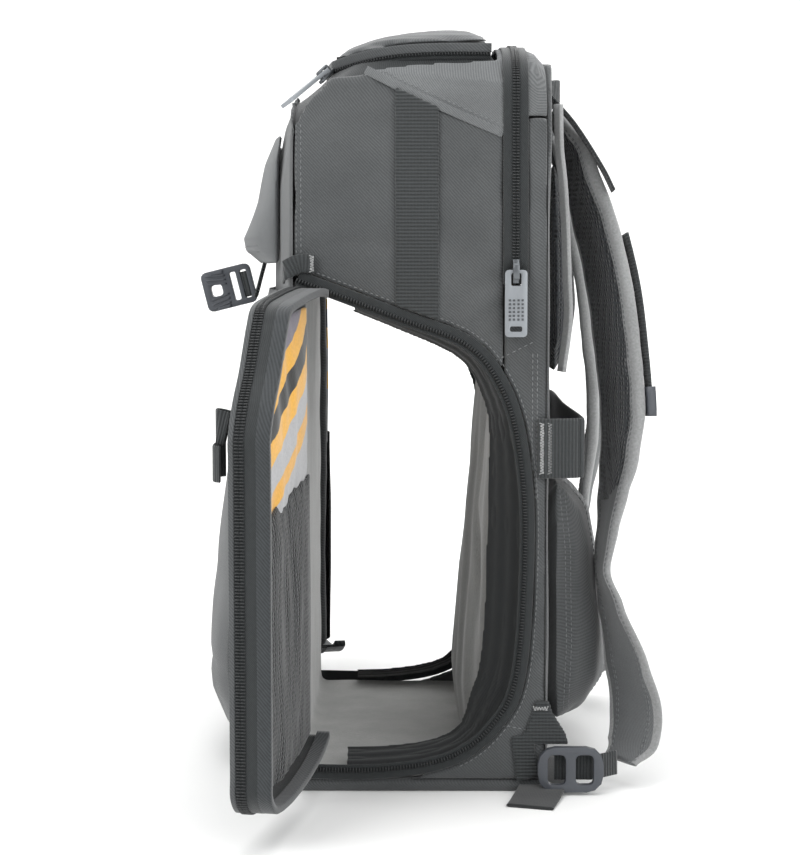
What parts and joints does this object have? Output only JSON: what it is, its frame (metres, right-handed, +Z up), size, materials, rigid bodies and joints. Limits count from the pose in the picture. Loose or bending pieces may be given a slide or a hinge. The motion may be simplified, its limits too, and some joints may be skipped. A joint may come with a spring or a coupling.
{
  "type": "camera backpack",
  "caption": "Padded camera backpack standing upright, both side doors unzipped and swung open onto a through camera compartment, with lid, front pocket, buckle and shoulder straps.",
  "frame": {"origin": "on the floor under the bag, midway between its sides", "axes": "+Z up, +Y towards the wearer's back, front pocket facing -Y, sides at +X and -X with their doors swung out"},
  "size_m": [0.5982, 0.3097, 0.4938],
  "materials": {
    "body_fabric": "fine polyester twill, matte",
    "light_fabric": "smooth woven nylon, matte",
    "trim_fabric": "zip tape and binding with coil teeth",
    "lining_fabric": "brushed loop lining",
    "mesh_fabric": "open knitted spacer mesh",
    "webbing": "ribbed woven webbing",
    "buckle_plastic": "moulded acetal, fine matte",
    "slider_metal": "dark lacquered zinc",
    "pull_metal": "pale grey lacquered zinc"
  },
  "bodies": {
    "bag": {"front_panel": "body_fabric", "base": "body_fabric", "rear_gusset_top": "light_fabric", "yoke_panel": "light_fabric", "rear_zip": "trim_fabric", "back_panel": "body_fabric", "compartment_lining": "lining_fabric", "middle_wall": "lining_fabric", "compartment_divider": "lining_fabric", "top_lid": "light_fabric", "lid_zip": "trim_fabric", "lumbar_pad": "body_fabric", "upper_back_pad": "mesh_fabric", "front_lower_pocket": "body_fabric", "front_upper_pocket": "light_fabric", "front_buckle": "buckle_plastic", "front_strap": "webbing", "keeper_loop": "webbing", "trolley_strap": "webbing", "haul_handle": "webbing", "side_panel_right": "body_fabric", "side_panel_left": "body_fabric", "rear_gusset_right": "body_fabric", "rear_gusset_left": "body_fabric", "opening_zip_right": "trim_fabric", "opening_zip_left": "trim_fabric", "opening_facing_right": "trim_fabric", "opening_facing_left": "trim_fabric", "side_webbing_right": "webbing", "side_webbing_left": "webbing", "corner_bridge_right": "webbing", "corner_bridge_left": "webbing", "shoulder_strap_right": "body_fabric", "shoulder_strap_left": "body_fabric", "strap_lock_right": "buckle_plastic", "strap_lock_left": "buckle_plastic", "corner_tab_right": "webbing", "corner_tab_left": "webbing", "lower_webbing_right": "webbing", "lower_webbing_left": "webbing", "rear_slider_right": "slider_metal", "rear_slider_left": "slider_metal", "lid_slider_right": "slider_metal", "lid_slider_left": "slider_metal", "door_right": "body_fabric", "door_left": "body_fabric", "door_zip_right": "trim_fabric", "door_zip_left": "trim_fabric", "door_mesh_right": "mesh_fabric", "door_mesh_left": "mesh_fabric", "door_organiser_right": "lining_fabric", "door_organiser_left": "lining_fabric", "door_slider_right": "slider_metal", "door_slider_left": "slider_metal"},
    "rear_pull_right": {"rear_pull_right": "pull_metal"},
    "rear_pull_left": {"rear_pull_left": "pull_metal"},
    "lid_pull_right": {"lid_pull_right": "pull_metal"},
    "lid_pull_left": {"lid_pull_left": "pull_metal"},
    "door_pull_right": {"door_pull_right": "pull_metal"},
    "door_pull_left": {"door_pull_left": "pull_metal"}
  },
  "joints": [
    {"name": "rear_pull_right_hinge", "type": "hinge", "parent": "bag", "child": "rear_pull_right", "pos_m": [0.1562, 0.062, 0.333], "axis": [0, -1, 0], "range_deg": [0, 150]},
    {"name": "rear_pull_left_hinge", "type": "hinge", "parent": "bag", "child": "rear_pull_left", "pos_m": [-0.1562, 0.062, 0.333], "axis": [0, 1, 0], "range_deg": [0, 150]},
    {"name": "lid_pull_right_hinge", "type": "hinge", "parent": "bag", "child": "lid_pull_right", "pos_m": [0.11487, -0.05953, 0.45994], "axis": [-0.7348, -0.5982, -0.3198], "range_deg": [0, 120]},
    {"name": "lid_pull_left_hinge", "type": "hinge", "parent": "bag", "child": "lid_pull_left", "pos_m": [-0.11487, -0.05953, 0.45994], "axis": [-0.7348, 0.5982, 0.3198], "range_deg": [0, 120]},
    {"name": "door_pull_right_hinge", "type": "hinge", "parent": "bag", "child": "door_pull_right", "pos_m": [0.1544, -0.08, 0.017], "axis": [0, -0.848, 0.5299], "range_deg": [0, 15]},
    {"name": "door_pull_left_hinge", "type": "hinge", "parent": "bag", "child": "door_pull_left", "pos_m": [-0.1544, -0.08, 0.017], "axis": [0, 0.848, -0.5299], "range_deg": [0, 15]}
  ]
}
